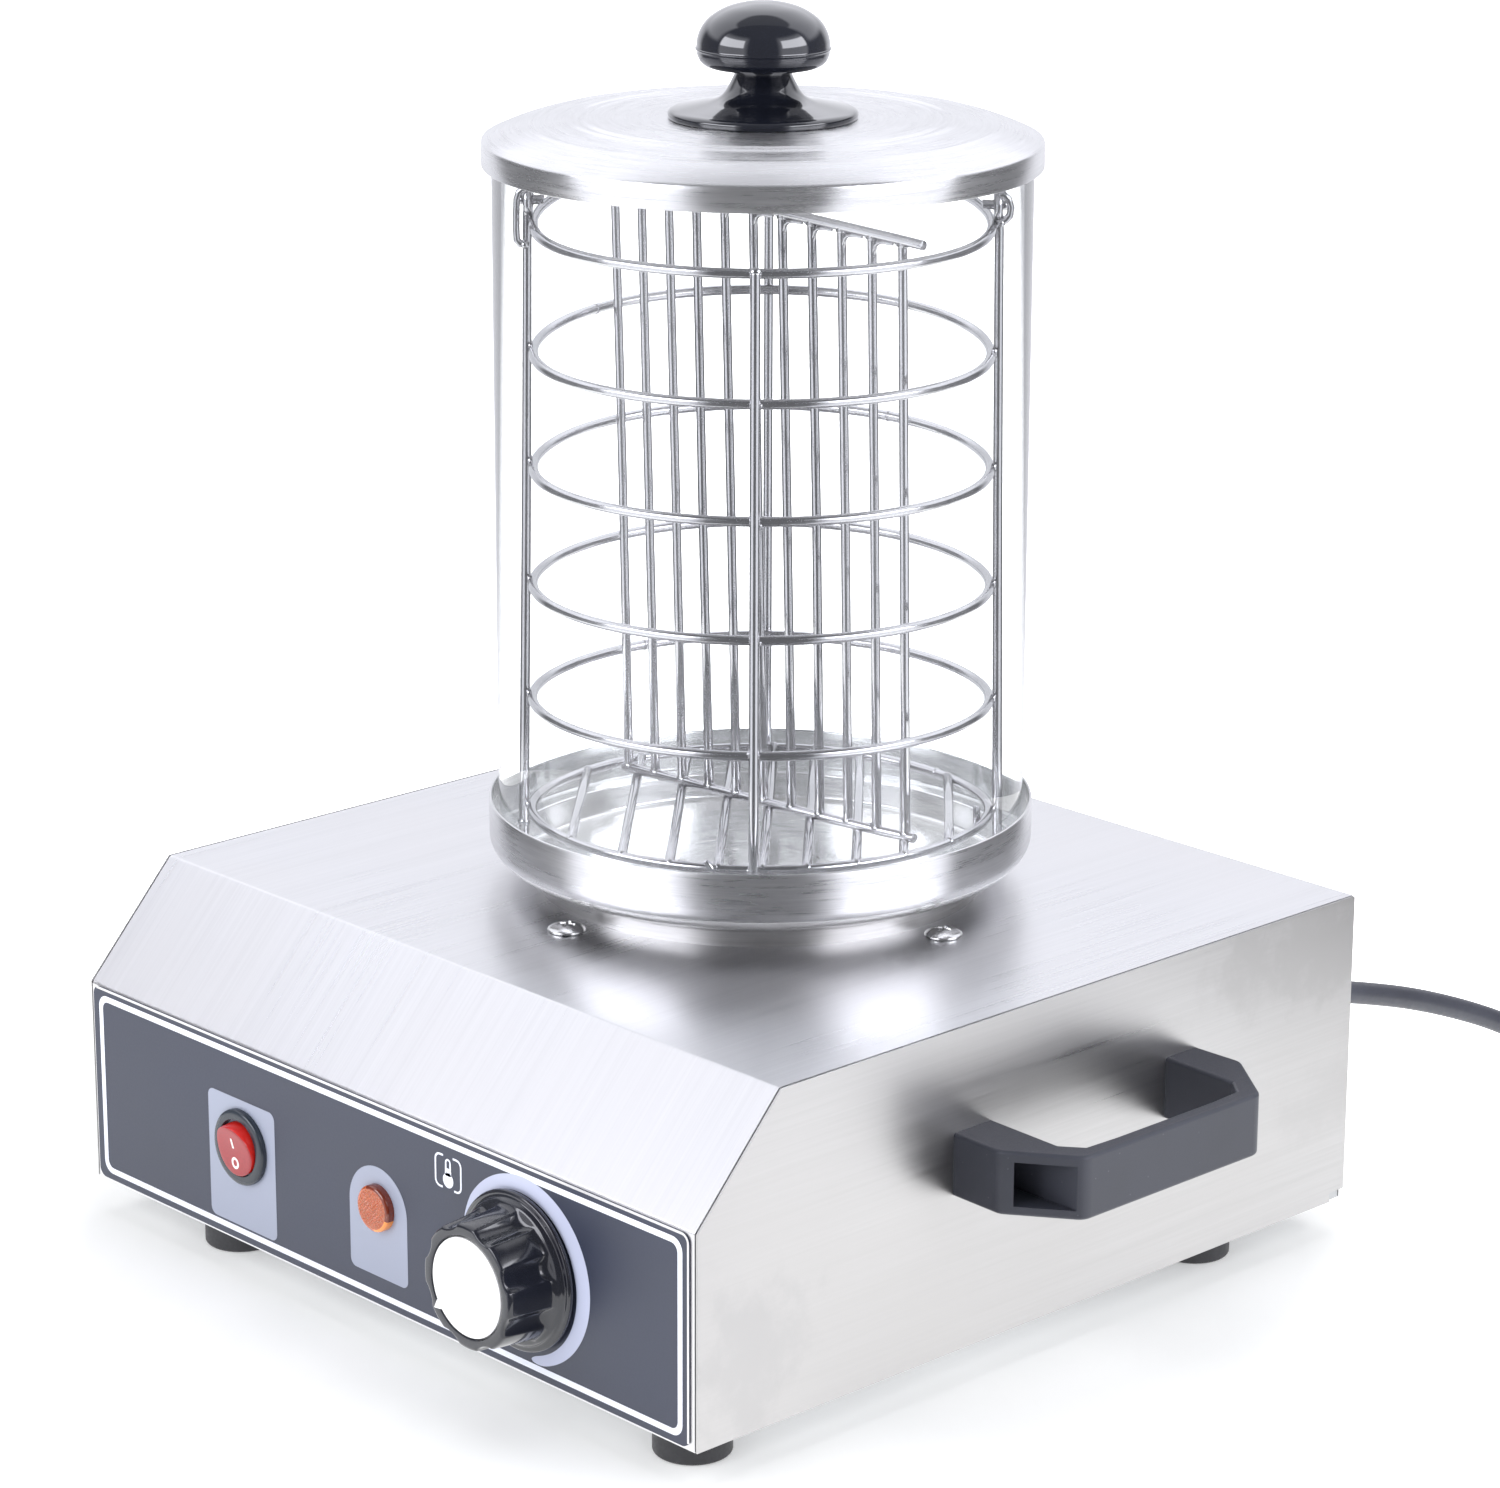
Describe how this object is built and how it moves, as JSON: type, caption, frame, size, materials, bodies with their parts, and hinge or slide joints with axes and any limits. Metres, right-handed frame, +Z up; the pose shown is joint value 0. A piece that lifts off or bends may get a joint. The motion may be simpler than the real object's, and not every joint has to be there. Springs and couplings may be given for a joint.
{
  "type": "hot dog cylinder warmer",
  "caption": "Countertop food warmer: a brushed-steel heater box with sloping front, side grips, switch, lamp and dial carries a glass cylinder with wire basket, tray and lid.",
  "frame": {"origin": "middle of the object's footprint (without the mains cord) on the surface that it stands on", "axes": "+Z up along the glass cylinder, -Y is the front with the controls, +X is the user's right"},
  "size_m": [0.395, 0.5512, 0.3827],
  "materials": {
    "housing_steel": "vertical brushed grain",
    "side_steel": "brushed grain along the depth",
    "galvanised_steel": "dull zinc",
    "overlay_blue": "semi-matte printed film",
    "switch_black": "gloss",
    "rocker_red": "translucent gloss",
    "lamp_body": "plain",
    "lens_amber": "translucent, waffle textured",
    "thermostat_metal": "plain",
    "zinc": "zinc plated",
    "copper_capillary": "drawn",
    "knob_black": "gloss",
    "knob_white": "satin",
    "collar_steel": "turned",
    "plate_aluminium": "turned",
    "element_steel": "heat-tinted",
    "insulation_white": "ceramic fibre",
    "screw_steel": "nickel plated",
    "terminal_white": "glazed",
    "wire_insulation": "glass-fibre sleeve",
    "handle_black": "fine moulded texture",
    "foot_rubber": "matte",
    "cord_black": "satin sheath",
    "plug_black": "satin",
    "pin_brass": "nickel-plated brass",
    "tray_steel": "spun, polished rim",
    "clear_glass": "clear, ground edges",
    "wire_chrome": "electropolished wire",
    "lid_steel": "concentric brushing",
    "lid_knob_black": "gloss phenolic"
  },
  "bodies": {
    "base": {"housing_shell": "housing_steel", "side_panel_left": "side_steel", "side_panel_right": "side_steel", "rear_panel": "side_steel", "base_plate": "galvanised_steel", "front_overlay": "overlay_blue", "rocker_switch_body": "switch_black", "pilot_lamp_body": "lamp_body", "pilot_lamp_lens": "lens_amber", "thermostat_body": "thermostat_metal", "thermostat_nut": "zinc", "thermostat_bulb": "copper_capillary", "heater_collar": "collar_steel", "heating_plate": "plate_aluminium", "heating_element": "element_steel", "insulation_pad": "insulation_white", "heat_shield": "galvanised_steel", "collar_screws": "screw_steel", "thermal_cutout": "thermostat_metal", "terminal_block": "terminal_white", "terminal_screws": "zinc", "internal_wires": "wire_insulation", "earth_stud": "zinc", "handle_left": "handle_black", "handle_right": "handle_black", "handle_screws": "screw_steel", "rear_screws": "screw_steel", "feet": "foot_rubber", "foot_screws": "screw_steel", "strain_relief": "cord_black", "mains_cord": "cord_black", "cord_coil": "cord_black", "cord_tail": "cord_black", "mains_plug": "plug_black", "plug_pins": "pin_brass"},
    "rocker": {"rocker_button": "rocker_red"},
    "knob": {"control_knob": "knob_black", "knob_face_disc": "knob_white", "thermostat_shaft": "zinc"},
    "tray": {"tray": "tray_steel"},
    "glass": {"glass_cylinder": "clear_glass"},
    "basket": {"basket_rings": "wire_chrome", "basket_uprights": "wire_chrome", "basket_floor_grid": "wire_chrome", "divider": "wire_chrome"},
    "bail": {"bail_handle": "wire_chrome"},
    "lid": {"lid": "lid_steel", "lid_knob": "lid_knob_black", "lid_knob_screw": "screw_steel"}
  },
  "joints": [
    {"name": "rocker_tilt", "type": "hinge", "parent": "base", "child": "rocker", "pos_m": [-0.063, -0.129, 0.044], "axis": [-1, 0, 0], "range_deg": [0, 20]},
    {"name": "knob_turn", "type": "hinge", "parent": "base", "child": "knob", "pos_m": [0.0667, -0.1385, 0.0445], "axis": [0, 1, 0], "range_deg": [0, 285]},
    {"name": "tray_lift", "type": "slide", "parent": "base", "child": "tray", "axis": [0, 0, 1], "range_m": [0, 0.06]},
    {"name": "glass_lift", "type": "slide", "parent": "tray", "child": "glass", "axis": [0, 0, 1], "range_m": [0, 0.12]},
    {"name": "basket_lift", "type": "slide", "parent": "glass", "child": "basket", "axis": [0, 0, 1], "range_m": [0, 0.23]},
    {"name": "lid_lift", "type": "slide", "parent": "basket", "child": "lid", "axis": [0, 0, 1], "range_m": [0, 0.15]},
    {"name": "bail_swing", "type": "hinge", "parent": "basket", "child": "bail", "pos_m": [0, 0.0275, 0.3195], "axis": [0.7071, 0.7071, 0], "range_deg": [0, 90]}
  ],
  "couplings": [
    {"joint": "bail_swing", "follows": "lid_lift", "rad_per_m": 10.4}
  ]
}
